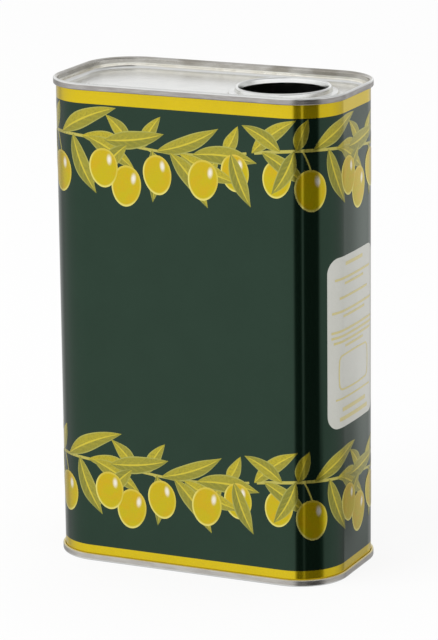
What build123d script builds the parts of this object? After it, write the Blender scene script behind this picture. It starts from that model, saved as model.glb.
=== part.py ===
from build123d import *
import os
from math import cos, radians, sin, tan

os.makedirs("parts", exist_ok=True)

# A one litre tin for cooking oil: a wrapper of printed tinplate between two pressed ends,
# joined by a double seam at each end. Millimetres, standing on the origin, with +X to the
# end that has the neck, -Y to the front and +Z up.

# Body over the outside of its sheet, and the height over both seams
width = 112.0
depth = 57.0
height = 180.0
corner_radius = 17.5

# Tinplate
body_sheet = 0.27
end_sheet = 0.27

# Double seam
seam_height = 2.6
seam_gap = 0.06
crown_radius = 0.42
chuck_crown_radius = 0.85
crown_room = 0.42
hook_clearance = 0.28
compound_clearance = 0.01
compound_spread_share = 0.7

# Pressed ends, from the crown of the seam down to the panel
countersink_depth = 4.4
countersink_radius = 1.75
margin_width = 1.2
panel_step = 0.4
panel_step_turn = 30
panel_landing = 0.5

# Neck, drawn up from the top panel with its edge rolled inwards
neck_offset = 28.0
mouth_radius = 16.0
lip_width = 1.5
lip_depth = 2.0
neck_height = 2.7
neck_root_radius = 0.3
pedestal_ledge = 2.5
pedestal_height = 0.7
pedestal_radius = 0.3
pedestal_turn = 60

# Welded lap down the body, on the narrow side away from the neck
weld_width = 0.8
weld_rise = 0.08
weld_stop = 0.4

# Counts of the flats that make up each bend
crown_flat_count = 2
countersink_flat_count = 3
hem_flat_count = 4
body_hook_flat_count = 2
lip_flat_count = 4
shallow_flat_count = 1

# Layers of the double seam, as the distance of each middle line from the body's outer face
wall_layer = -body_sheet / 2
chuck_layer = -body_sheet - seam_gap - end_sheet / 2
cover_hook_layer = seam_gap + end_sheet / 2
body_hook_layer = 2 * seam_gap + end_sheet + body_sheet / 2
skirt_layer = 3 * seam_gap + 3 * end_sheet / 2 + body_sheet

body_hem_radius = (body_hook_layer - wall_layer) / 2
cover_hem_radius = (skirt_layer - cover_hook_layer) / 2
crown_flat = skirt_layer - chuck_layer - chuck_crown_radius - crown_radius

# Depths of the hooks below the crown
body_hook_top = end_sheet + crown_room
body_hook_end = seam_height - end_sheet - hook_clearance
cover_hook_end = body_hook_top + body_sheet + hook_clearance


def fold(place, heading, thickness, moves):
    """Section of a folded sheet. Its middle line starts at place, and each move is a straight
    run, then a bend by turn degrees at radius, pressed in a count of flats."""
    half = thickness / 2
    place = Vector(*place)

    def ahead(distance, turn=0):
        return Vector(distance, 0).rotate(Axis.Z, heading + turn)

    left = [place + ahead(half, 90)]
    right = [place - ahead(half, 90)]
    for run, turn, radius, flat_count in moves:
        place += ahead(run)
        step = turn / flat_count
        reach = radius * tan(radians(abs(step) / 2))
        mitre = half / cos(radians(step / 2))
        for _ in range(flat_count if turn else 0):
            place += ahead(reach)
            left.append(place + ahead(mitre, 90 + step / 2))
            right.append(place - ahead(mitre, 90 + step / 2))
            heading += step
            place += ahead(reach)
    left.append(place + ahead(half, 90))
    right.append(place - ahead(half, 90))
    return make_face(Polyline(*left, *reversed(right), close=True))


def outline(outward=0):
    """Rounded rectangle of the body, moved outward."""
    return RectangleRounded(width + 2 * outward, depth + 2 * outward, corner_radius + outward)


def carry_round(section):
    """Solid of a section, drawn as distance out from the body and height, carried round it."""
    front = Plane(origin=(0, -depth / 2, 0), x_dir=(0, -1, 0), z_dir=(-1, 0, 0))
    return sweep(front * section, path=outline().wire())


def body_wrapper():
    """Printed wrapper: one sheet, hooked outwards at both ends and welded along a lap."""
    hook_run = body_hook_end - body_hook_top - body_sheet / 2 - body_hem_radius
    bend_depth = body_hook_top + body_sheet / 2 + body_hem_radius
    section = fold(
        (body_hook_layer, body_hook_end),
        -90,
        body_sheet,
        [
            (hook_run, -180, body_hem_radius, body_hook_flat_count),
            (height - 2 * bend_depth, -180, body_hem_radius, body_hook_flat_count),
            (hook_run, 0, 0, 1),
        ],
    )
    weld_start = seam_height + weld_stop
    weld = Pos(-width / 2, 0, weld_start) * Box(
        weld_rise, weld_width, height - 2 * weld_start, align=(Align.MAX, Align.CENTER, Align.MIN)
    )
    return carry_round(section) + weld


def end_rim():
    """Rim of a pressed end at the top of the tin: panel step, chuck wall, crown, skirt and hook."""
    bend = countersink_radius + end_sheet / 2
    slope = panel_step / sin(radians(panel_step_turn))
    start = chuck_layer - bend - margin_width - slope * cos(radians(panel_step_turn)) - panel_landing
    panel_middle = height - countersink_depth + panel_step - end_sheet / 2
    section = fold(
        (start, panel_middle),
        0,
        end_sheet,
        [
            (panel_landing, -panel_step_turn, 0, 1),
            (slope, panel_step_turn, 0, 1),
            (margin_width, 90, bend, countersink_flat_count),
            (countersink_depth - bend - chuck_crown_radius, -90, chuck_crown_radius, crown_flat_count),
            (crown_flat, -90, crown_radius, crown_flat_count),
            (seam_height - end_sheet - crown_radius - cover_hem_radius, -180, cover_hem_radius, hem_flat_count),
            (seam_height - cover_hook_end - end_sheet / 2 - cover_hem_radius, 0, 0, 1),
        ],
    )
    return carry_round(section), start


def neck():
    """Neck on its pedestal, revolved about its own axis, and the radius where it meets the panel."""
    bead_radius = mouth_radius + lip_width
    lip_radius = (lip_width - end_sheet) / 2
    rise = 1 - cos(radians(pedestal_turn))
    slope = (pedestal_height - 2 * pedestal_radius * rise) / sin(radians(pedestal_turn))
    shoulder = 2 * pedestal_radius * sin(radians(pedestal_turn)) + slope * cos(radians(pedestal_turn))
    root = bead_radius - end_sheet / 2 + neck_root_radius
    foot = bead_radius + pedestal_ledge + shoulder / 2
    panel_middle = height - countersink_depth + panel_step - end_sheet / 2
    wall = neck_height - pedestal_height - neck_root_radius - lip_radius
    section = fold(
        (foot + panel_landing, panel_middle),
        180,
        end_sheet,
        [
            (panel_landing, -pedestal_turn, pedestal_radius, shallow_flat_count),
            (slope, pedestal_turn, pedestal_radius, shallow_flat_count),
            (foot - shoulder - root, -90, neck_root_radius, shallow_flat_count),
            (wall, 180, lip_radius, lip_flat_count),
            (lip_depth - end_sheet / 2 - lip_radius, 0, 0, 1),
        ],
    )
    side = Plane(origin=(neck_offset, 0, 0), x_dir=(1, 0, 0), z_dir=(0, -1, 0))
    return revolve(side * section, axis=Axis((neck_offset, 0, 0), (0, 0, 1))), foot + panel_landing


def pressed_end(with_neck):
    """End of the tin in its place at the top: the rim, the flat panel and, if asked for, the neck."""
    rim, edge = end_rim()
    panel = outline(edge)
    solid = rim
    if with_neck:
        collar, hole = neck()
        panel -= Pos(neck_offset, 0) * Circle(hole)
        solid += collar
    top = height - countersink_depth + panel_step
    return solid + Pos(0, 0, top - end_sheet) * extrude(panel, end_sheet)


def seam_compound():
    """Ring of sealing compound under the crown of the top seam, over the bend of the body hook."""
    top = height - end_sheet - compound_clearance
    base = height - body_hook_top + compound_clearance
    inner = chuck_layer + chuck_crown_radius
    outer = inner + crown_flat
    section = make_face(
        Polyline(
            (inner - compound_spread_share * (chuck_crown_radius - end_sheet / 2), base),
            (outer + compound_spread_share * (crown_radius - end_sheet / 2), base),
            (outer, top),
            (inner, top),
            close=True,
        )
    )
    return carry_round(section)


def at_bottom(piece):
    """The same piece mirrored to the other end of the tin."""
    return mirror(piece, about=Plane.XY.offset(height / 2))


pieces = {
    "body_wrapper": body_wrapper(),
    "top_end": pressed_end(with_neck=True),
    "bottom_end": at_bottom(pressed_end(with_neck=False)),
    "top_seam_compound": seam_compound(),
    "bottom_seam_compound": at_bottom(seam_compound()),
}

for name, piece in pieces.items():
    export_step(piece, f"parts/{name}.step")
    print(f"{name}: {len(piece.solids())} solid, {piece.volume:.1f} mm3, {len(piece.faces())} faces")
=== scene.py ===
from cmath import rect
from math import cos, pi, radians, sin

import bmesh
import bpy
import numpy as np
from mathutils import Matrix


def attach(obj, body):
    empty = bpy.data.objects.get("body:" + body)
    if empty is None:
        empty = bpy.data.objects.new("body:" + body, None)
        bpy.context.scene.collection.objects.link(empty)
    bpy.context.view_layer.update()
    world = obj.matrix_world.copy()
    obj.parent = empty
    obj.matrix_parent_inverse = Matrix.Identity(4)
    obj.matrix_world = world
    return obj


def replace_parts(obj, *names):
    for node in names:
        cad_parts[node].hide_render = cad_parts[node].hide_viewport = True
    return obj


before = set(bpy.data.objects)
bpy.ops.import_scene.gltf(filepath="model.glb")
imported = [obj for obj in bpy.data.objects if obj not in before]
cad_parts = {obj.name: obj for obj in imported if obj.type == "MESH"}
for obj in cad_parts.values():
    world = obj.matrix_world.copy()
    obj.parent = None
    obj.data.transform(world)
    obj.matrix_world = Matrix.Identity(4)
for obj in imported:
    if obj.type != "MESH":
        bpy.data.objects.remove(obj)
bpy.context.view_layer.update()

# The body wrapper: one sheet of tinplate, printed flat, rolled to a rounded rectangle and welded
# down the narrow side away from the neck. Both ends are hooked outwards into the seams. A run is
# a distance round its outer face in millimetres, to the right from the middle of the front.
mm = 0.001
tin_height = 180.0
body_width = 112.0
body_depth = 57.0
corner_radius = 17.5
plate = 0.27
seam_height = 2.6
seam_gap = 0.06
crown_room = 0.42
hook_clearance = 0.28
wall_layer = -plate / 2
body_hook_layer = 2 * seam_gap + 3 * plate / 2
body_hem_radius = (body_hook_layer - wall_layer) / 2
body_hook_top = plate + crown_room
hook_run = seam_height - plate - hook_clearance - body_hook_top - plate / 2 - body_hem_radius
bend_depth = body_hook_top + plate / 2 + body_hem_radius
front_half = body_width / 2 - corner_radius
side_half = body_depth / 2 - corner_radius
corner_run = corner_radius * pi / 2
girth = 4 * (front_half + side_half) + 4 * corner_run
weld_run = -girth / 4
bare_margin = 4.0
# Levels of the edges of the two yellow bands, and how far the print runs on past them into the seams
low_band = (2.5, 5.8)
high_band = (172.55, 177.5)
print_past_bands = 1.0
# Degrees that each flat of a bend turns by
bend_step = 11
# The panels of a filled tin swell. The swell fades out on the corners and beside the seams.
front_swell = 0.3
side_swell = 0.42
swell_past_panel = 8.0
flat_beside_seam = 0.6
# Middle, half width and swell of each panel
panels = (
    (0, front_half, front_swell),
    (girth / 4, side_half, side_swell),
    (girth / 2, front_half, front_swell),
    (-girth / 4, side_half, side_swell),
)


def fold(place, heading, moves):
    """Outline of a folded plate and the way each point of it faces, as complex numbers of
    distance out and level. A move is a straight run, then a bend by turn degrees at radius."""
    place = complex(*place)
    heading = radians(heading)
    line = [(place, heading)]
    for run, turn, radius in moves:
        place += rect(run, heading)
        if run:
            line.append((place, heading))
        steps = round(abs(turn) / bend_step)
        for _ in range(steps):
            step = radians(turn) / steps
            place += rect(2 * radius * sin(abs(step) / 2), heading + step / 2)
            heading += step
            line.append((place, heading))
    left = [(point + rect(plate / 2, way + pi / 2), rect(1, way + pi / 2)) for point, way in line]
    right = [(point - rect(plate / 2, way + pi / 2), -rect(1, way + pi / 2)) for point, way in line]
    return np.array(left + right[::-1])


def bow(run, level):
    """How far the panels swell there."""
    swell = 0.0
    for middle, half, height in panels:
        away = abs((run - middle + girth / 2) % girth - girth / 2) / (half + swell_past_panel)
        swell = swell + height * np.where(away < 1, np.cos(away * pi / 2) ** 2, 0)
    reach = tin_height / 2 - seam_height - flat_beside_seam
    rise = np.clip(abs(level - tin_height / 2) / reach, 0, 1)
    return swell * (1 - rise**6) ** 2


def on_body(run, level, lift=0.0, bowed=True):
    """Points on the body at these runs and levels, lifted off its outer face."""
    run = (np.asarray(run, float) + girth / 2) % girth - girth / 2
    away = abs(run)
    past_side = away - front_half - corner_run - 2 * side_half
    first_turn = np.clip((away - front_half) / corner_radius, 0, pi / 2)
    turn = first_turn + np.clip(past_side / corner_radius, 0, pi / 2)
    along = np.clip(away, 0, front_half) - np.clip(past_side - corner_run, 0, front_half)
    back = np.clip(away - front_half - corner_run, 0, 2 * side_half) - side_half
    out = corner_radius + lift + (bow(run, level) if bowed else 0)
    across = np.where(run < 0, -1.0, 1.0) * (along + out * np.sin(turn))
    return np.stack(np.broadcast_arrays(across, back - out * np.cos(turn), level), -1)


def facing(run, level):
    """The way the bowed wall faces at these runs and levels."""
    step = 0.02
    across = on_body(run + step, level) - on_body(run - step, level)
    up = on_body(run, level + step) - on_body(run, level - step)
    out = np.cross(across, up)
    return out / np.linalg.norm(out, axis=-1, keepdims=True)


def stations(extra=()):
    """Runs all round the body, close together on the corners."""
    front_count = 14
    corner_count = 33
    side_count = 10
    front = np.linspace(0, front_half, front_count)
    corner = np.linspace(0, corner_run, corner_count)
    narrow = np.linspace(0, 2 * side_half, side_count)
    marks = [-girth / 2, *extra]
    for side in (-1, 1):
        marks += list(side * front)
        marks += list(side * (front_half + corner))
        marks += list(side * (front_half + corner_run + narrow))
        marks += list(side * (front_half + corner_run + 2 * side_half + corner))
        marks += list(side * (girth / 2 - front[1:]))
    return np.unique(np.round(marks, 4))


def carry_round(section, runs, bowed=False):
    """Rings of points and of the ways they face, for a section carried round the body."""
    points = np.array([on_body(runs, point.imag, point.real, bowed) for point, _ in section])
    plain = on_body(runs, 0.0, 1.0, False) - on_body(runs, 0.0, 0.0, False)
    ways = []
    for point, way in section:
        out = facing(runs, np.full(len(runs), point.imag)) if bowed else plain
        ways.append(out * way.real + np.array([0, 0, way.imag]))
    return points, np.array(ways)


def rings(count, around, first=0, closed=True):
    """Faces between rings of points, one ring after another."""
    here = first + np.arange(count * around).reshape(count, around)
    there = np.roll(here, -1, axis=0)
    if not closed:
        here = here[:-1]
        there = there[:-1]
    return np.stack([here, np.roll(here, -1, axis=1), np.roll(there, -1, axis=1), there], -1).reshape(-1, 4)


def add_piece(name, points, ways, faces, finishes, kinds=None):
    """A piece of the tin from its points, the ways they face and its faces, riding on the tin."""
    mesh = bpy.data.meshes.new(name)
    corners = (np.reshape(points, (-1, 3)) * mm).tolist()
    mesh.from_pydata(corners, [], [list(map(int, face)) for face in faces])
    for finish in finishes:
        mesh.materials.append(finish)
    if kinds is not None:
        mesh.polygons.foreach_set("material_index", np.asarray(kinds, np.int32))
    shell = bmesh.new()
    shell.from_mesh(mesh)
    bmesh.ops.recalc_face_normals(shell, faces=shell.faces)
    shell.to_mesh(mesh)
    shell.free()
    mesh.shade_smooth()
    if ways is not None:
        mesh.normals_split_custom_set_from_vertices(np.reshape(ways, (-1, 3)).tolist())
    piece = bpy.data.objects.new(name, mesh)
    bpy.context.scene.collection.objects.link(piece)
    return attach(piece, "root")


class Wire:
    """A socket of a finish. Arithmetic on it adds Math nodes, and node() adds any other node."""

    def __init__(self, tree, socket=None):
        self.tree = tree
        self.socket = socket

    def node(self, kind, settings=None, sockets=None, output=0):
        """A node of this kind. Settings are attributes, or a ramp's stops of place and grey."""
        made = self.tree.nodes.new(kind)
        for name, value in (settings or {}).items():
            if name == "stops":
                ramp = made.color_ramp.elements
                while len(ramp) < len(value):
                    ramp.new(1.0)
                for stop, (place, grey) in zip(ramp, value):
                    stop.position = place
                    stop.color = (grey, grey, grey, 1.0)
            else:
                setattr(made, name, value)
        for name, value in (sockets or {}).items():
            if isinstance(value, Wire):
                self.tree.links.new(value.socket, made.inputs[name])
            else:
                made.inputs[name].default_value = value
        return Wire(self.tree, made.outputs[output] if len(made.outputs) else None)

    def maths(self, operation, first, second=0.0):
        return self.node("ShaderNodeMath", {"operation": operation}, {0: first, 1: second})

    def __add__(self, other):
        return self.maths("ADD", self, other)

    def __sub__(self, other):
        return self.maths("SUBTRACT", self, other)

    def __rsub__(self, other):
        return self.maths("SUBTRACT", other, self)

    def __mul__(self, other):
        return self.maths("MULTIPLY", self, other)

    def __pow__(self, other):
        return self.maths("POWER", self, other)

    def __abs__(self):
        return self.maths("ABSOLUTE", self)

    __radd__ = __add__
    __rmul__ = __mul__

    def over(self, low, high):
        """0 below low, 1 above high, and smooth between. Low may be the higher of the two."""
        return self.node(
            "ShaderNodeMapRange",
            {"interpolation_type": "SMOOTHSTEP"},
            {"Value": self, "From Min": low, "From Max": high},
        )

    def mix(self, share, first, second):
        return self.node("ShaderNodeMix", {"data_type": "RGBA"}, {0: share, 6: first, 7: second}, 2)

    def place(self, axis, stretch=(1, 1, 1)):
        """Place on the tin in millimetres, or one axis of it."""
        metres = self.node("ShaderNodeTexCoord", output="Object")
        scale = tuple(part / mm for part in stretch)
        point = self.node("ShaderNodeVectorMath", {"operation": "MULTIPLY"}, {0: metres, 1: scale})
        return point if axis is None else self.node("ShaderNodeSeparateXYZ", None, {0: point}, axis)

    def mottle(self, size, stretch=(1, 1, 1), detail=2.0):
        """Soft irregular patches, this many millimetres across."""
        point = self.place(None, stretch)
        return self.node("ShaderNodeTexNoise", None, {"Vector": point, "Scale": 1 / size, "Detail": detail})


def tint(*parts):
    """A colour as it is seen, red, green and blue from 0 to 255, in the values that a shader takes:
    a display's curve undone, which is straight for the darkest shades."""
    shares = [part / 255 for part in parts]
    light = [share / 12.92 if share < 0.0404 else ((share + 0.055) / 1.055) ** 2.4 for share in shares]
    return (*light, 1.0)


def new_finish(name):
    """An empty finish, and the wire that adds its nodes."""
    finish = bpy.data.materials.new(name)
    finish.use_nodes = True
    finish.node_tree.nodes.clear()
    return finish, Wire(finish.node_tree)


def lay_on(wire, relief, relief_height, **sockets):
    """Closes a finish: its shader, with a relief of this many millimetres."""
    sockets = {name.replace("_", " "): value for name, value in sockets.items()}
    bump = {"Distance": relief_height * mm, "Height": relief}
    sockets["Normal"] = wire.node("ShaderNodeBump", None, bump)
    shader = wire.node("ShaderNodeBsdfPrincipled", None, sockets)
    wire.node("ShaderNodeOutputMaterial", None, {"Surface": shader})


varnish = 0.35
varnish_roughness = 0.04
ink_roughness = 0.11


def lay_ink(wire, colour, metal, roughness=ink_roughness):
    """Ink on tinplate under a thin varnish. Metal is the share of the plate's shine that it lets
    through."""
    lay_on(
        wire,
        relief=wire.mottle(2.4),
        relief_height=0.0025,
        Base_Color=colour,
        Metallic=metal,
        Roughness=roughness + 0.04 * wire.mottle(0.5, detail=1.0),
        Coat_Weight=varnish,
        Coat_Roughness=varnish_roughness,
    )


def ink_finish(name, colours, metal, roughness=ink_roughness):
    """A plain field of ink, with a fine screen grain and slow drifts between its two colours."""
    finish, wire = new_finish(name)
    drift = wire.mottle(14.0).over(0.3, 0.7)
    grain = wire.mottle(0.6, (1, 1, 2.2), 1.0).over(0.3, 0.7)
    colour = wire.mix(drift * 0.4 + grain * 0.6, tint(*colours[0]), tint(*colours[1]))
    lay_ink(wire, colour, metal, roughness)
    return finish


def tin_finish(name):
    """Bare tinplate: bright on the pressed plates, warm and streaked where the chuck held it, and
    matt and grey where the seaming rolls rubbed it. The crown shows wear in patches and a painted
    shade along its top at the front. At the foot, the seam's edge next to the yellow band carries a
    painted reflection of that band."""
    finish, wire = new_finish(name)
    # The zones lie by the distance out from the body's face and down from the nearer crown
    level = wire.place(2)
    over_x = wire.maths("MAXIMUM", abs(wire.place(0)) - front_half, 0.0)
    over_y = wire.maths("MAXIMUM", abs(wire.place(1)) - side_half, 0.0)
    out = (over_x * over_x + over_y * over_y) ** 0.5 - corner_radius
    down = tin_height / 2 - abs(level - tin_height / 2)
    at_top = level.over(80, 100)
    crown = down.over(2.4, 2.0) * out.over(-0.85, -0.65) * out.over(0.5, 0.35)
    # Painted shade: the crown's top along the front is darkened
    front_crest_shade = down.over(0.3, 0.1) * out.over(0.2, 0.0) * wire.place(1).over(-18, -26)
    chucked = down.over(2.0, 2.4) * out.over(-0.95, -0.65) * out.over(-0.1, -0.4)
    skirt = out.over(0.6, 0.85) * down.over(0.4, 0.8)
    # Painted reflection: the yellow band as seen in the seam's edge at the foot
    hem_with_painted_reflection = out.over(0.1, 0.3) * down.over(2.3, 2.45) * (1 - at_top)
    cloud = wire.mottle(7.0, detail=3.0)
    streaks = wire.mottle(2.6, (1, 1, 0.5), 3.0)
    rolled = wire.mottle(1.4, (0.25, 0.25, 1.5), 3.0)
    patches = wire.mottle(18.0, detail=1.0).over(0.5, 0.64)
    bright = wire.mix(cloud.over(0.3, 0.7), tint(236, 237, 236), tint(242, 243, 241))
    wear_and_crest_shade = wire.mix(rolled.over(0.35, 0.65), tint(202, 200, 195), tint(188, 185, 178))
    wear_and_crest_shade = wire.mix(patches * 0.8, wear_and_crest_shade, tint(154, 149, 139))
    # The crown's top at the front gets a darker colour here as painted shade, laid over its wear
    wear_and_crest_shade = wire.mix(front_crest_shade, wear_and_crest_shade, tint(158, 154, 148))
    streaked = wire.mix(streaks.over(0.36, 0.64), tint(240, 237, 228), tint(230, 226, 214))
    rubbed = wire.mix(at_top, tint(200, 197, 191), tint(185, 182, 178))
    scuffed = wire.mix(at_top, tint(184, 180, 174), tint(166, 162, 159))
    matt = wire.mix(rolled.over(0.3, 0.7), rubbed, scuffed)
    colour = wire.mix(crown, bright, wear_and_crest_shade)
    colour = wire.mix(chucked, colour, streaked)
    colour = wire.mix(skirt, colour, matt)
    lay_on(
        wire,
        relief=streaks * chucked + rolled * skirt + 0.5 * cloud,
        relief_height=0.01,
        # The yellow tint at the foot's seam edge is a painted reflection of the band above it
        Base_Color=wire.mix(hem_with_painted_reflection * 0.8, colour, tint(232, 219, 160)),
        Metallic=1.0,
        Roughness=0.22 + 0.05 * skirt + 0.15 * hem_with_painted_reflection - 0.06 * chucked,
    )
    return finish


green_ink = ink_finish("green_ink", ((29, 55, 40), (33, 59, 44)), metal=0.88)
yellow_ink = ink_finish("yellow_ink", ((216, 189, 0), (225, 197, 6)), metal=0.85)
bare_tin = tin_finish("bare_tinplate")

# The margin that is left unprinted for the weld has a clear lacquer, browned by the weld's heat
lacquered_tin, wire = new_finish("lacquered_margin")
scorch = abs(wire.place(1)).over(3.2, 0.6)
drift = wire.mottle(5.0, (1, 1, 0.3), 3.0).over(0.3, 0.7)
lacquer = wire.mix(drift, tint(198, 194, 182), tint(186, 181, 166))
lay_on(
    wire,
    relief=wire.mottle(1.2, (1, 1, 0.2)),
    relief_height=0.008,
    Base_Color=wire.mix(scorch * 0.5, lacquer, tint(164, 154, 134)),
    Metallic=1.0,
    Roughness=0.3 + 0.1 * wire.mottle(2.0),
)

# The wall has rings in the seams, at the edges of the bands and beside them, and evenly between
seam_ring = 2.2
middle_start = 12
middle_rings = np.linspace(middle_start, tin_height - middle_start, 27)
low_rings = (bend_depth, seam_ring, *low_band, 8)
high_rings = (170, *high_band, tin_height - seam_ring, tin_height - bend_depth)
wall_levels = (*low_rings, *middle_rings, *high_rings)
wall_runs = [(top - base, 0, 0) for base, top in zip(wall_levels[:-1], wall_levels[1:])]
wrapper_section = fold(
    (body_hook_layer, bend_depth + hook_run),
    -90,
    [(hook_run, -180, body_hem_radius), *wall_runs, (0, -180, body_hem_radius), (hook_run, 0, 0)],
)
wrapper_runs = stations((weld_run - bare_margin, weld_run + bare_margin))
wrapper_points, wrapper_ways = carry_round(wrapper_section, wrapper_runs, bowed=True)
next_run = np.roll(wrapper_runs, -1)
run_middle = np.where(next_run > wrapper_runs, (wrapper_runs + next_run) / 2, girth / 2)
inked = abs(run_middle - weld_run) > bare_margin
wrapper_finishes = (green_ink, yellow_ink, bare_tin, lacquered_tin)
green, yellow, bare, lacquered = range(4)
kinds = []
for (here, way), (there, _) in zip(wrapper_section, np.roll(wrapper_section, -1, axis=0)):
    level = (here.imag + there.imag) / 2
    outer = way.real > 0.99 and abs(here.real) < 0.01
    printed = low_band[0] - print_past_bands < level < high_band[1] + print_past_bands
    ink = green if low_band[1] <= level <= high_band[0] else yellow
    kinds.append(np.where(inked, ink, lacquered) if outer and printed else np.full(len(inked), bare))
wrapper = add_piece(
    "wrapper_sheet",
    wrapper_points,
    wrapper_ways,
    rings(len(wrapper_section), len(wrapper_runs)),
    wrapper_finishes,
    np.ravel(kinds),
)
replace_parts(wrapper, "body_wrapper")

# The welded lap: one edge of the sheet pressed over the other by rollers that carry the current,
# which leaves a low ridge of overlapping nuggets, tinted by the heat, on the bare margin.
weld_width = 0.8
weld_rise = 0.08
weld_ends = (3.3, tin_height - 3.3)
# Length of each nugget, and the share of the ridge's height that is lost between two
nugget = 0.9
nugget_dip = 0.28


def film_faces(rows, columns, first=0):
    """Faces of a closed film: its grid on top, the same grid below, and the walls between."""
    top = first + np.arange(rows * columns).reshape(rows, columns)
    under = top + rows * columns
    quads = []
    for side in (top, under):
        corners = [side[:-1, :-1], side[1:, :-1], side[1:, 1:], side[:-1, 1:]]
        quads.append(np.stack(corners, -1).reshape(-1, 4))
    rim = np.concatenate([top[0, :-1], top[:-1, -1], top[-1, :0:-1], top[:0:-1, 0]])
    after = np.roll(rim, -1)
    walls = np.stack([rim, after, after + rows * columns, rim + rows * columns], -1)
    return np.concatenate([*quads, walls])


weld_levels = np.arange(weld_ends[0], weld_ends[1], nugget / 6)
weld_across = np.linspace(-1, 1, 9)
across, along = np.meshgrid(weld_across, weld_levels)
hump = (1 - across**4) * (1 - nugget_dip + nugget_dip * abs(np.sin(pi * along / nugget)))
weld_top = on_body(weld_run + across * weld_width / 2, along, weld_rise * hump)
weld_under = on_body(weld_run + across * weld_width / 2, along, -plate / 2)
weld_tin, wire = new_finish("welded_tinplate")
heat = abs(wire.place(1)).over(1.6, 0.1)
lay_on(
    wire,
    relief=wire.mottle(0.3),
    relief_height=0.01,
    Base_Color=wire.mix(heat * 0.8 + 0.2 * wire.mottle(1.4), tint(196, 194, 188), tint(134, 124, 112)),
    Metallic=1.0,
    Roughness=0.26 + 0.14 * wire.mottle(0.6),
)
weld = add_piece(
    "weld_ridge",
    np.concatenate([weld_top.reshape(-1, 3), weld_under.reshape(-1, 3)]),
    None,
    film_faces(len(weld_levels), len(weld_across)),
    (weld_tin,),
)

# The olive branches, printed in two rows round the tin: stems, leaves and fruit in light inks over
# the green. Each shape is a film of ink that lies in the wall's own curve, one over another where
# they cross, and none stands more than about a tenth of a millimetre high.
branch_count = 3
branch_period = (girth - 2 * bare_margin) / branch_count
branch_start = weld_run + bare_margin
branch_level = 159.0
branch_drop = 121.6
stem_width = 1.25
stem_taper = 0.4
stem_wave = 2.1
stem_crest = 24
# Where each stem starts, and how far before the next one, or before the bare margin, it ends
stem_start = 2
stem_stop = 1
last_stem_stop = 8
leaf_clearance = 1
stalk_width = 0.62
stalk_bend = 0.9
stalk_overlap = 0.4
# Rise of each layer of ink, and how deep the underside of a film lies in the wall
film_step = 0.009
film_sunk = 0.04
chance = np.random.default_rng(7)


class Films:
    """Many closed films of ink, gathered in one piece."""

    def __init__(self):
        self.points = []
        self.ways = []
        self.spots = []
        self.faces = []
        self.count = 0

    def add(self, run, level, layer, across, along, shade):
        """A film over a grid of runs and levels, with its own measures for the ink."""
        way = facing(run, level)
        top = on_body(run, level, film_step * (layer + 2))
        under = on_body(run, level, -film_sunk)
        spots = np.stack(np.broadcast_arrays(run, across, along, shade)[1:], -1).reshape(-1, 3)
        self.faces.append(film_faces(*run.shape, first=self.count))
        for side, side_way in ((top, way), (under, -way)):
            self.points.append(side.reshape(-1, 3))
            self.ways.append(side_way.reshape(-1, 3))
            self.spots.append(spots)
            self.count += run.size

    def lay(self, name, finish):
        """The films as one piece, which keeps their measures for the ink as its spots."""
        points = np.concatenate(self.points)
        ways = np.concatenate(self.ways)
        piece = add_piece(name, points, ways, np.concatenate(self.faces), (finish,))
        spot = piece.data.attributes.new("spot", "FLOAT_VECTOR", "POINT")
        spot.data.foreach_set("vector", np.concatenate(self.spots).ravel())
        return piece


def stem_level(along):
    """Level of the main stem, which waves once in each length of branch."""
    return branch_level + stem_wave * np.cos(2 * pi * (along - stem_crest) / branch_period)


def ribbon(films, path, widths, layer, shade):
    """A stem or a drawn line along a path of runs and levels."""
    path = np.array(path, float)
    way = np.gradient(path, axis=0)
    way /= np.linalg.norm(way, axis=1, keepdims=True)
    across = np.array([-1.0, 0.0, 1.0])
    half = np.asarray(widths)[:, None] / 2 * across
    films.add(
        path[:, :1] - way[:, 1:] * half,
        path[:, 1:] + way[:, :1] * half,
        layer,
        across[None, :],
        np.linspace(0, 1, len(path))[:, None],
        shade,
    )


def leaf(films, foot, angle, length, width, bend, shade, layer):
    """A narrow leaf from its foot, bent to one side, with a drawn out tip and a faintly wavy edge."""
    along = np.linspace(0, 1, 37)[:, None]
    across = np.linspace(-1, 1, 9)[None, :]
    wave = 1 + 0.05 * np.sin(9 * along + 40 * shade)
    outline = np.sin(pi * along**0.86) ** 0.95 * wave
    least_half = 0.05
    half = np.maximum(width / 2 * outline, least_half)
    ahead = length * along
    aside = bend * length * 2 * along * (1 - along) + half * across
    turn = radians(angle)
    run = foot[0] + ahead * cos(turn) - aside * sin(turn)
    level = foot[1] + ahead * sin(turn) + aside * cos(turn)
    films.add(run, level, layer, across, along, shade)


def olive(films, middle, width, height, tilt, layer, shade):
    """An egg-shaped fruit, a little narrower at its foot."""
    marks = np.linspace(-1, 1, 19)
    first, second = np.meshgrid(marks, marks)
    across = first * np.sqrt(1 - second**2 / 2)
    along = second * np.sqrt(1 - first**2 / 2)
    wide = across * width / 2 * (1 + 0.06 * along)
    tall = along * height / 2
    turn = radians(tilt)
    run = middle[0] + wide * cos(turn) - tall * sin(turn)
    level = middle[1] + wide * sin(turn) + tall * cos(turn)
    films.add(run, level, layer, across, along, shade)


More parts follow.
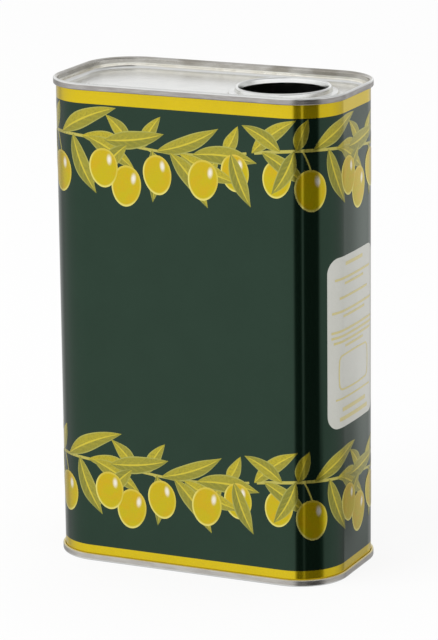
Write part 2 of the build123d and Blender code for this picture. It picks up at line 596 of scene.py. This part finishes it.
# Foot along the branch, angle, length, width, bend, shade and layer of each leaf
leaves = (
    (1, 37, 21, 6.0, 0.10, 0.80, 2),
    (12, 150, 17, 5.4, -0.10, 0.45, 3),
    (18, 70, 12, 5.2, 0.06, 0.95, 2),
    (24, 24, 26, 6.4, 0.10, 0.60, 4),
    (34, -8, 20, 5.6, 0.08, 0.85, 3),
    (43, 9, 24, 6.8, -0.08, 0.30, 5),
    (54, 134, 15, 5.2, -0.08, 0.70, 3),
    (58, 58, 14, 5.2, 0.10, 0.75, 3),
    (64, 22, 26, 6.2, -0.10, 0.50, 4),
    (78, -3, 25, 7.0, 0.10, 0.35, 5),
    (90, 62, 12, 5.0, -0.08, 0.90, 2),
    (5, -34, 20, 6.0, 0.08, 0.35, 8),
    (17, -118, 18, 5.8, 0.12, 0.15, 9),
    (30, -66, 23, 6.4, -0.10, 0.20, 9),
    (36, -30, 22, 6.2, 0.10, 0.60, 4),
    (52, -132, 20, 6.0, -0.10, 0.30, 9),
    (62, -90, 19, 6.0, 0.10, 0.10, 7),
    (69, -52, 24, 6.6, 0.10, 0.45, 9),
    (73, -22, 24, 6.4, -0.08, 0.80, 8),
    (88, -128, 17, 5.4, 0.10, 0.55, 4),
    (93, -68, 20, 6.0, -0.08, 0.20, 9),
)
# Stalk's foot and middle along the branch, level, width, height, tilt and layer of each olive
olives = (
    (8, 10.5, 150.5, 10.8, 13.8, -6, 6),
    (20, 23.0, 146.5, 11.8, 15.2, 5, 10),
    (42, 42.5, 149.5, 11.4, 14.4, 4, 10),
    (46, 51.5, 143.5, 11.8, 15.2, -6, 8),
    (60, 64.0, 148.5, 11.2, 14.6, 8, 10),
    (84, 82.0, 148.0, 11.8, 14.8, -4, 10),
    (91, 94.5, 151.5, 10.8, 13.6, 8, 7),
)
stem_films = Films()
leaf_films = Films()
olive_films = Films()
for drop in (0, branch_drop):
    for turn_round in range(branch_count):
        last = turn_round == branch_count - 1
        shift = branch_start + turn_round * branch_period
        along = np.linspace(stem_start, branch_period - (last_stem_stop if last else stem_stop), 60)
        stem = np.stack([shift + along, stem_level(along) - drop], -1)
        ribbon(stem_films, stem, stem_width - stem_taper * along / branch_period, layer=0, shade=0.5)
        for foot, middle, level, width, height, tilt, layer in olives:
            top = np.array([middle, level + height / 2 - stalk_overlap])
            base = np.array([foot, stem_level(foot)])
            share = np.linspace(0, 1, 9)[:, None]
            stalk = base + (top - base) * share + np.array([stalk_bend, 0]) * share * (1 - share)
            widths = np.full(len(stalk), stalk_width)
            ribbon(stem_films, stalk + (shift, -drop), widths, layer=1, shade=0.7)
            olive(olive_films, (shift + middle, level - drop), width, height, tilt, layer, chance.random())
        for foot, angle, length, width, bend, shade, layer in leaves:
            # A leaf that would reach onto the bare margin is left out
            reach = foot + length * cos(radians(angle))
            past_start = turn_round == 0 and reach < leaf_clearance
            past_end = last and reach > branch_period - leaf_clearance
            if past_start or past_end:
                continue
            leaf_foot = (shift + foot, stem_level(foot) - drop)
            leaf(leaf_films, leaf_foot, angle, length, width, bend, shade, layer)


def measures(wire):
    """The measures across and along a film, and its shade."""
    spot = wire.node("ShaderNodeAttribute", {"attribute_name": "spot"}, None, "Vector")
    return [wire.node("ShaderNodeSeparateXYZ", None, {0: spot}, axis) for axis in range(3)]


stem_ink, wire = new_finish("stem_ink")
across = measures(wire)[0]
bark = wire.mix(abs(across) * 0.5 + 0.5 * wire.mottle(0.6), tint(202, 192, 94), tint(178, 170, 74))
lay_ink(wire, bark, metal=0.72)
stem_films.lay("stem_print", stem_ink)

leaf_ink, wire = new_finish("leaf_ink")
across, along, shade = measures(wire)
upper = wire.mix(shade, tint(150, 147, 54), tint(196, 179, 36))
lower = wire.mix(shade, tint(130, 131, 48), tint(170, 160, 50))
blade = wire.mix(across.over(-0.06, 0.06), lower, upper)
vein = wire.maths("SINE", along * 46 - abs(across) * 9).over(0.1, 0.9)
blade = wire.mix(vein * (1 - abs(across)) * 0.3, blade, tint(204, 188, 56))
blade = wire.mix(wire.mottle(0.7, detail=1.0).over(0.45, 0.75) * 0.4, blade, tint(126, 126, 48))
edge = abs(across).over(0.80, 0.94)
blade = wire.mix(edge * 0.7, blade, tint(186, 184, 98))
midrib = abs(across).over(0.13, 0.07) * along.over(0.96, 0.86)
lay_ink(wire, wire.mix(midrib * 0.9, blade, tint(216, 198, 60)), metal=0.78)
leaf_films.lay("leaf_print", leaf_ink)

olive_ink, wire = new_finish("olive_ink")
across, along = measures(wire)[:2]
radius = (across * across + along * along) ** 0.5
skin = wire.mix(wire.mottle(4.0).over(0.42, 0.66) * 0.75, tint(203, 184, 0), tint(212, 177, 6))
skin = wire.mix((along - 0.3 * across).over(-0.2, 1.0) * 0.35, skin, tint(216, 174, 4))
rim = radius.over(0.86, 0.96) * (0.35 + 0.65 * (across + along).over(0.5, -0.5))
skin = wire.mix(rim, skin, tint(234, 222, 118))
gleam = ((across - 0.44) * (across - 0.44) * 2.4 + (along - 0.42) * (along - 0.42)) ** 0.5
lay_ink(wire, wire.mix(gleam.over(0.36, 0.06), skin, tint(246, 240, 222)), metal=0.8)
olive_films.lay("olive_print", olive_ink)

# The panel for particulars on the narrow side by the neck: opaque white ink with rounded corners,
# and plain rules and an empty rounded frame in pale yellow ink on it. It is printed with the rest,
# so it has no paper edge.
panel_runs = (56.2, 93.0)
panel_levels = (57.4, 120.7)
panel_radius = 5.5
rule_layer = 4
panel_films = Films()
rule_films = Films()


def rounded(runs, levels, radius, rows, columns):
    """Grid of runs and levels over a rectangle with rounded corners."""
    tall = levels[1] - levels[0]
    ends = radius * (1 - np.cos(np.linspace(0, pi / 2, rows // 3)))
    between = np.linspace(radius, tall - radius, rows - 2 * len(ends) + 2)[1:-1]
    rise = np.concatenate([ends, between, (tall - ends)[::-1]])[:, None]
    inset = np.maximum(radius - np.minimum(rise, tall - rise), 0)
    half = (runs[1] - runs[0]) / 2 - radius + np.sqrt(np.maximum(radius**2 - inset**2, 0))
    share = np.linspace(-1, 1, columns)
    return (runs[0] + runs[1]) / 2 + share * half, levels[0] + rise + 0 * share


run, level = rounded(panel_runs, panel_levels, panel_radius, rows=60, columns=41)
panel_films.add(run, level, layer=0, across=0.0, along=0.0, shade=0.5)
# Level, share of the panel's width and thickness of each rule
rules = (
    (117.6, 0.42, 1.3),
    (112.6, 0.80, 0.9),
    (110.5, 0.46, 0.9),
    (105.6, 0.66, 0.9),
    (100.6, 0.88, 0.9),
    (98.6, 0.52, 0.9),
    (93.4, 0.90, 0.9),
    (91.4, 0.90, 0.9),
    (89.4, 0.84, 0.9),
    (87.4, 0.44, 0.9),
    (68.2, 0.78, 0.7),
    (64.0, 0.56, 1.5),
    (60.6, 0.66, 1.5),
)
panel_middle = (panel_runs[0] + panel_runs[1]) / 2
for rule_level, share, thick in rules:
    half = share * (panel_runs[1] - panel_runs[0]) / 2
    rule_run = np.linspace(panel_middle - half, panel_middle + half, 41)
    run, level = np.meshgrid(rule_run, (rule_level - thick / 2, rule_level + thick / 2))
    rule_films.add(run, level, rule_layer, across=0.0, along=0.0, shade=0.5)
# The empty frame: the level of its middle, its half width and height, its corners and its line
border_level = 77.9
border_half = (12.5, 6.6)
border_radius = 3.2
border_line = 0.7
border_point_count = 97
corner_reach = 2.2


def border_part(wave, half):
    """One coordinate of the frame's line, whose round corners are drawn apart to their places."""
    return np.clip(corner_reach * wave, -1, 1) * (half - border_radius) + border_radius * wave


turns = np.linspace(0, 2 * pi, border_point_count)
border_run = panel_middle + border_part(np.cos(turns), border_half[0])
border_rise = border_level + border_part(np.sin(turns), border_half[1])
border = np.stack([border_run, border_rise], -1)
ribbon(rule_films, border, np.full(border_point_count, border_line), rule_layer, shade=0.5)
white_ink = ink_finish("white_ink", ((200, 200, 191), (207, 207, 200)), metal=0.25, roughness=0.2)
rule_ink = ink_finish("rule_ink", ((202, 189, 128), (210, 200, 148)), metal=0.25, roughness=0.2)
panel_films.lay("particulars_panel", white_ink)
rule_films.lay("particulars_rules", rule_ink)

# The pressed ends: tinplate drawn into a shallow dish, its edge rolled down over the body's hook
# and ironed flat by the seaming rolls. The top one has the neck, drawn up from a low pedestal and
# rolled inwards to a bead that the spout is pressed into.
countersink_depth = 4.4
countersink_radius = 1.75
crown_radius = 0.42
chuck_crown_radius = 0.85
margin_width = 1.2
panel_step = 0.4
panel_step_turn = 30
panel_step_radius = 0.2
panel_landing = 0.5
chuck_layer = -plate - seam_gap - plate / 2
cover_hook_layer = seam_gap + plate / 2
skirt_layer = 3 * seam_gap + 5 * plate / 2
cover_hem_radius = (skirt_layer - cover_hook_layer) / 2
crown_flat = skirt_layer - chuck_layer - chuck_crown_radius - crown_radius
cover_hook_end = body_hook_top + plate + hook_clearance


def step_between(height, turn, radius):
    """A step of two opposite bends: the slope between them, and how far out both reach."""
    turn = radians(turn)
    slope = (height - 2 * radius * (1 - cos(turn))) / sin(turn)
    return slope, 2 * radius * sin(turn) + slope * cos(turn)


step_slope, step_reach = step_between(panel_step, panel_step_turn, panel_step_radius)
dish_bend = countersink_radius + plate / 2
rim_start = chuck_layer - dish_bend - margin_width - step_reach - panel_landing
dish_level = tin_height - countersink_depth + panel_step - plate / 2
rim_section = fold(
    (rim_start, dish_level),
    0,
    [
        (panel_landing, -panel_step_turn, panel_step_radius),
        (step_slope, panel_step_turn, panel_step_radius),
        (margin_width, 90, dish_bend),
        (countersink_depth - dish_bend - chuck_crown_radius, -90, chuck_crown_radius),
        (crown_flat, -90, crown_radius),
        (seam_height - plate - crown_radius - cover_hem_radius, -180, cover_hem_radius),
        (seam_height - cover_hook_end - plate / 2 - cover_hem_radius, 0, 0),
    ],
)

# The neck and its pedestal, as distances out from the neck's own axis. The neck's wall leans
# inwards as it rises, and the throat inside it as it drops.
neck_offset = 28.0
mouth_radius = 16.0
lip_width = 1.5
neck_lean = 12
throat_lean = 10
neck_height = 2.7
neck_root_radius = 0.3
pedestal_ledge = 2.5
pedestal_height = 0.7
pedestal_radius = 0.3
pedestal_turn = 60
throat_run = 1.45
lean_out = cos(radians(neck_lean))
lean_up = sin(radians(neck_lean))
throat_out = cos(radians(throat_lean))
throat_up = sin(radians(throat_lean))
lip_radius = (lip_width - plate / 2 * (1 + throat_out) - throat_run * throat_up) / (1 + throat_out)
pedestal_slope, shoulder = step_between(pedestal_height, pedestal_turn, pedestal_radius)
bead_radius = mouth_radius + lip_width - plate / 2
neck_rise = neck_height - pedestal_height - (neck_root_radius + lip_radius) * (1 - lean_up)
neck_root = bead_radius - lip_radius * (1 - lean_out)
neck_root += neck_rise * lean_up / lean_out + neck_root_radius * lean_out
foot = bead_radius + pedestal_ledge + shoulder / 2
neck_section = fold(
    (foot + panel_landing, dish_level),
    180,
    [
        (panel_landing, -pedestal_turn, pedestal_radius),
        (pedestal_slope, pedestal_turn, pedestal_radius),
        (foot - shoulder - neck_root, neck_lean - 90, neck_root_radius),
        (neck_rise / lean_out, 180 - neck_lean - throat_lean, lip_radius),
        (throat_run, 0, 0),
    ],
)


def pressed_end(name, with_neck, upside_down):
    """An end as it lies at the top of the tin: its rim, its neck if it has one, and the flat plate
    between. For the foot it is turned over."""
    runs = stations()
    around = len(runs)
    neck_around = 180
    points, ways = carry_round(rim_section, runs)
    points = points.reshape(-1, 3)
    ways = ways.reshape(-1, 3)
    faces = [list(face) for face in rings(len(rim_section), around, closed=False)]
    last = len(points) - around
    holes = [[], []]
    if with_neck:
        turns = np.linspace(0, 2 * pi, neck_around, endpoint=False)
        out = np.stack([np.cos(turns), np.sin(turns), 0 * turns], -1)
        neck_points = [out * point.real + (neck_offset, 0, point.imag) for point, _ in neck_section]
        neck_ways = [out * way.real + (0, 0, way.imag) for _, way in neck_section]
        first = len(points)
        neck_last = first + (len(neck_section) - 1) * neck_around
        faces += [list(face) for face in rings(len(neck_section), neck_around, first, closed=False)]
        holes = [range(neck_last, neck_last + neck_around), range(first, first + neck_around)]
        points = np.concatenate([points, *neck_points])
        ways = np.concatenate([ways, *neck_ways])
    # The flat plate's upper face and then its lower face, each with or without the neck's hole
    for rim_loop, hole in zip((range(0, around), range(last, last + around)), holes):
        plate_mesh = bmesh.new()
        edges = []
        index = {}
        for loop in (rim_loop, hole):
            corners = [plate_mesh.verts.new(points[number]) for number in loop]
            index.update(zip(corners, loop))
            edges += [plate_mesh.edges.new((corners[at - 1], corners[at])) for at in range(len(corners))]
        filled = bmesh.ops.triangle_fill(plate_mesh, use_beauty=True, edges=edges)
        for face in filled["geom"]:
            if isinstance(face, bmesh.types.BMFace):
                faces.append([index[corner] for corner in face.verts])
        plate_mesh.free()
    if upside_down:
        points = points * (1, 1, -1) + (0, 0, tin_height)
        ways = ways * (1, 1, -1)
    piece = add_piece(name, points, ways, faces, (bare_tin,))
    return piece


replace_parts(pressed_end("top_plate", True, False), "top_end")
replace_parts(pressed_end("foot_plate", False, True), "bottom_end")

# The sealing compound: a water-based rubber, flowed wet into the curl of each end and dried, that
# fills the gap above the body's hook when the seam is closed.
rubber, wire = new_finish("sealing_rubber")
lay_on(
    wire,
    relief=wire.mottle(0.8),
    relief_height=0.02,
    Base_Color=wire.mix(wire.mottle(2.0), tint(176, 170, 154), tint(150, 144, 130)),
    Roughness=0.55 + 0.2 * wire.mottle(1.0),
)
for node in ("top_seam_compound", "bottom_seam_compound"):
    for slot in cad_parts[node].material_slots:
        slot.material = rubber

# The studio: a pale floor that runs into a white ground, a soft lamp at the upper left and even
# light from all round. Only glossy surfaces see how uneven the surround is: bright walls, dimmer
# behind, overhead and towards the floor, and a dark gap at the front's right with one bright slit.
floor_reach = 6.0
floor_glow = 0.86


def light_paths(wire):
    """Whether a ray comes from the camera, off a glossy surface or through a clear one."""
    rays = wire.node("ShaderNodeLightPath").socket.node.outputs
    return [Wire(wire.tree, rays[f"Is {kind} Ray"]) for kind in ("Camera", "Glossy", "Transmission")]


floor_finish, wire = new_finish("pale_floor")
camera_ray, glossy_ray, clear_ray = light_paths(wire)
dusty = wire.mix(wire.mottle(90.0) * 0.3, tint(246, 246, 246), tint(240, 240, 240))
matt = wire.node("ShaderNodeBsdfDiffuse", None, {"Color": dusty})
glow = wire.node("ShaderNodeEmission", None, {"Color": tint(255, 255, 255), "Strength": 1.0})
share = camera_ray * floor_glow + glossy_ray + clear_ray
seen = wire.node("ShaderNodeMixShader", None, {0: share, 1: matt, 2: glow})
wire.node("ShaderNodeOutputMaterial", None, {"Surface": seen})
floor_corners = [(x * floor_reach, y * floor_reach, 0) for x, y in ((-1, -1), (1, -1), (1, 1), (-1, 1))]
floor_mesh = bpy.data.meshes.new("floor")
floor_mesh.from_pydata(floor_corners, [], [(0, 1, 2, 3)])
floor_mesh.materials.append(floor_finish)
floor = bpy.data.objects.new("floor", floor_mesh)
bpy.context.scene.collection.objects.link(floor)
# Glossy surfaces see the low zones of the surround in its place
floor.visible_glossy = False

world = bpy.data.worlds.new("studio")
bpy.context.scene.world = world
world.use_nodes = True
world.node_tree.nodes.clear()
wire = Wire(world.node_tree)
camera_ray, glossy_ray, clear_ray = light_paths(wire)
# Brightness of the surround by the degrees to the right of the front, in zones from the ground up
under_foot = ((-180, 0.58), (180, 0.58))
near_floor = (
    (-180, 0.42), (-150, 0.42), (-136, 0.5), (-116, 0.5), (-105, 0.44), (-90, 0.68), (-77, 0.78),
    (-62, 0.84), (-40, 0.89), (9, 0.87), (13.5, 0.1), (17, 0.04), (29, 0.03), (30, 0.25),
    (33.5, 0.25), (34.5, 0.03), (77, 0.03), (84, 0.6), (108, 0.66), (128, 0.56), (152, 0.24),
    (155.5, 0.34), (158, 0.5), (161, 0.6), (174, 0.45), (180, 0.42),
)
low_walls = (
    (-180, 0.55), (-150, 0.48), (-136, 0.54), (-116, 0.53), (-105, 0.46), (-90, 0.72), (-77, 0.82),
    (-62, 0.88), (-40, 0.94), (9, 0.92), (13.5, 0.1), (17, 0.04), (29, 0.03), (30, 0.6), (33.5, 0.6),
    (34.5, 0.03), (69, 0.03), (75, 0.74), (108, 0.74), (128, 0.64), (152, 0.5), (155.5, 0.68),
    (158, 0.78), (161, 0.84), (174, 0.6), (180, 0.55),
)
eye_walls = (
    (-180, 0.88), (-155, 0.94), (-120, 0.9), (-60, 1.1), (60, 1.15), (98, 1.05), (116, 0.62),
    (150, 0.58), (180, 0.85),
)
high_walls = (
    (-180, 0.72), (-130, 0.72), (-105, 0.75), (9, 0.75), (16, 0.25), (66, 0.25), (73, 0.45),
    (90, 0.38), (180, 0.72),
)
ceiling = ((-180, 0.75), (180, 0.75))
# Each zone with the heights between which it takes over from the one below, straight up being 1
zones = (
    (under_foot, None),
    (near_floor, (-0.62, -0.42)),
    (low_walls, (-0.31, -0.25)),
    (eye_walls, (-0.04, 0.04)),
    (high_walls, (0.28, 0.36)),
    (ceiling, (0.75, 0.9)),
)
heading = wire.node("ShaderNodeTexCoord", output="Generated")
east, north, rise = [wire.node("ShaderNodeSeparateXYZ", None, {0: heading}, axis) for axis in range(3)]
round_share = wire.maths("ARCTAN2", east, north * -1.0) * (0.5 / pi) + 0.5
surround = None
for walls, heights in zones:
    stops = [((degrees + 180) / 360, grey) for degrees, grey in walls]
    zone = wire.node("ShaderNodeValToRGB", {"stops": stops}, {0: round_share})
    surround = zone if heights is None else wire.mix(rise.over(*heights), surround, zone)
even_light = 0.88
surround = wire.mix(glossy_ray, (even_light, even_light, even_light, 1.0), surround)
surround = wire.mix(wire.maths("MAXIMUM", camera_ray, clear_ray), surround, (1.0, 1.0, 1.0, 1.0))
ground = wire.node("ShaderNodeBackground", None, {"Color": surround, "Strength": 1.0})
wire.node("ShaderNodeOutputWorld", None, {"Surface": ground})

lamp_data = bpy.data.lights.new("soft_lamp", "AREA")
lamp_data.shape = "RECTANGLE"
lamp_data.size = 1.2
lamp_data.size_y = 0.9
lamp_data.energy = 9.0
lamp = bpy.data.objects.new("soft_lamp", lamp_data)
bpy.context.scene.collection.objects.link(lamp)
lamp.location = (-0.7, -0.9, 1.3)
lamp.rotation_euler = (-lamp.location).to_track_quat("-Z", "Y").to_euler()
lamp.visible_glossy = False

# The camera, where the photograph was taken from: 1.29 metres off, 25 degrees to the right of the
# front and 14 degrees up, with a roll of just over half a degree.
azimuth = radians(24.68)
elevation = radians(14.34)
roll = radians(-0.624)
distance = 1286.7
# How far the aim lies to the right of the tin's middle and above it
aim_across = 1.379
aim_up = -0.982
back = np.array([sin(azimuth) * cos(elevation), -cos(azimuth) * cos(elevation), sin(elevation)])
right = np.array([cos(azimuth), sin(azimuth), 0])
up = np.cross(back, right)
camera_right = right * cos(roll) + up * sin(roll)
camera_up = -right * sin(roll) + up * cos(roll)
tin_middle = np.array([0, 0, tin_height / 2])
place = tin_middle + distance * back + aim_across * camera_right + aim_up * camera_up
camera_data = bpy.data.cameras.new("camera")
camera_data.lens = 196.4
camera_data.sensor_width = 36
camera = bpy.data.objects.new("camera", camera_data)
bpy.context.scene.collection.objects.link(camera)
turned = Matrix(np.stack([camera_right, camera_up, back], 1).tolist()).to_4x4()
camera.matrix_world = Matrix.Translation((place * mm).tolist()) @ turned
bpy.context.scene.camera = camera
bpy.context.scene.view_settings.view_transform = "Standard"
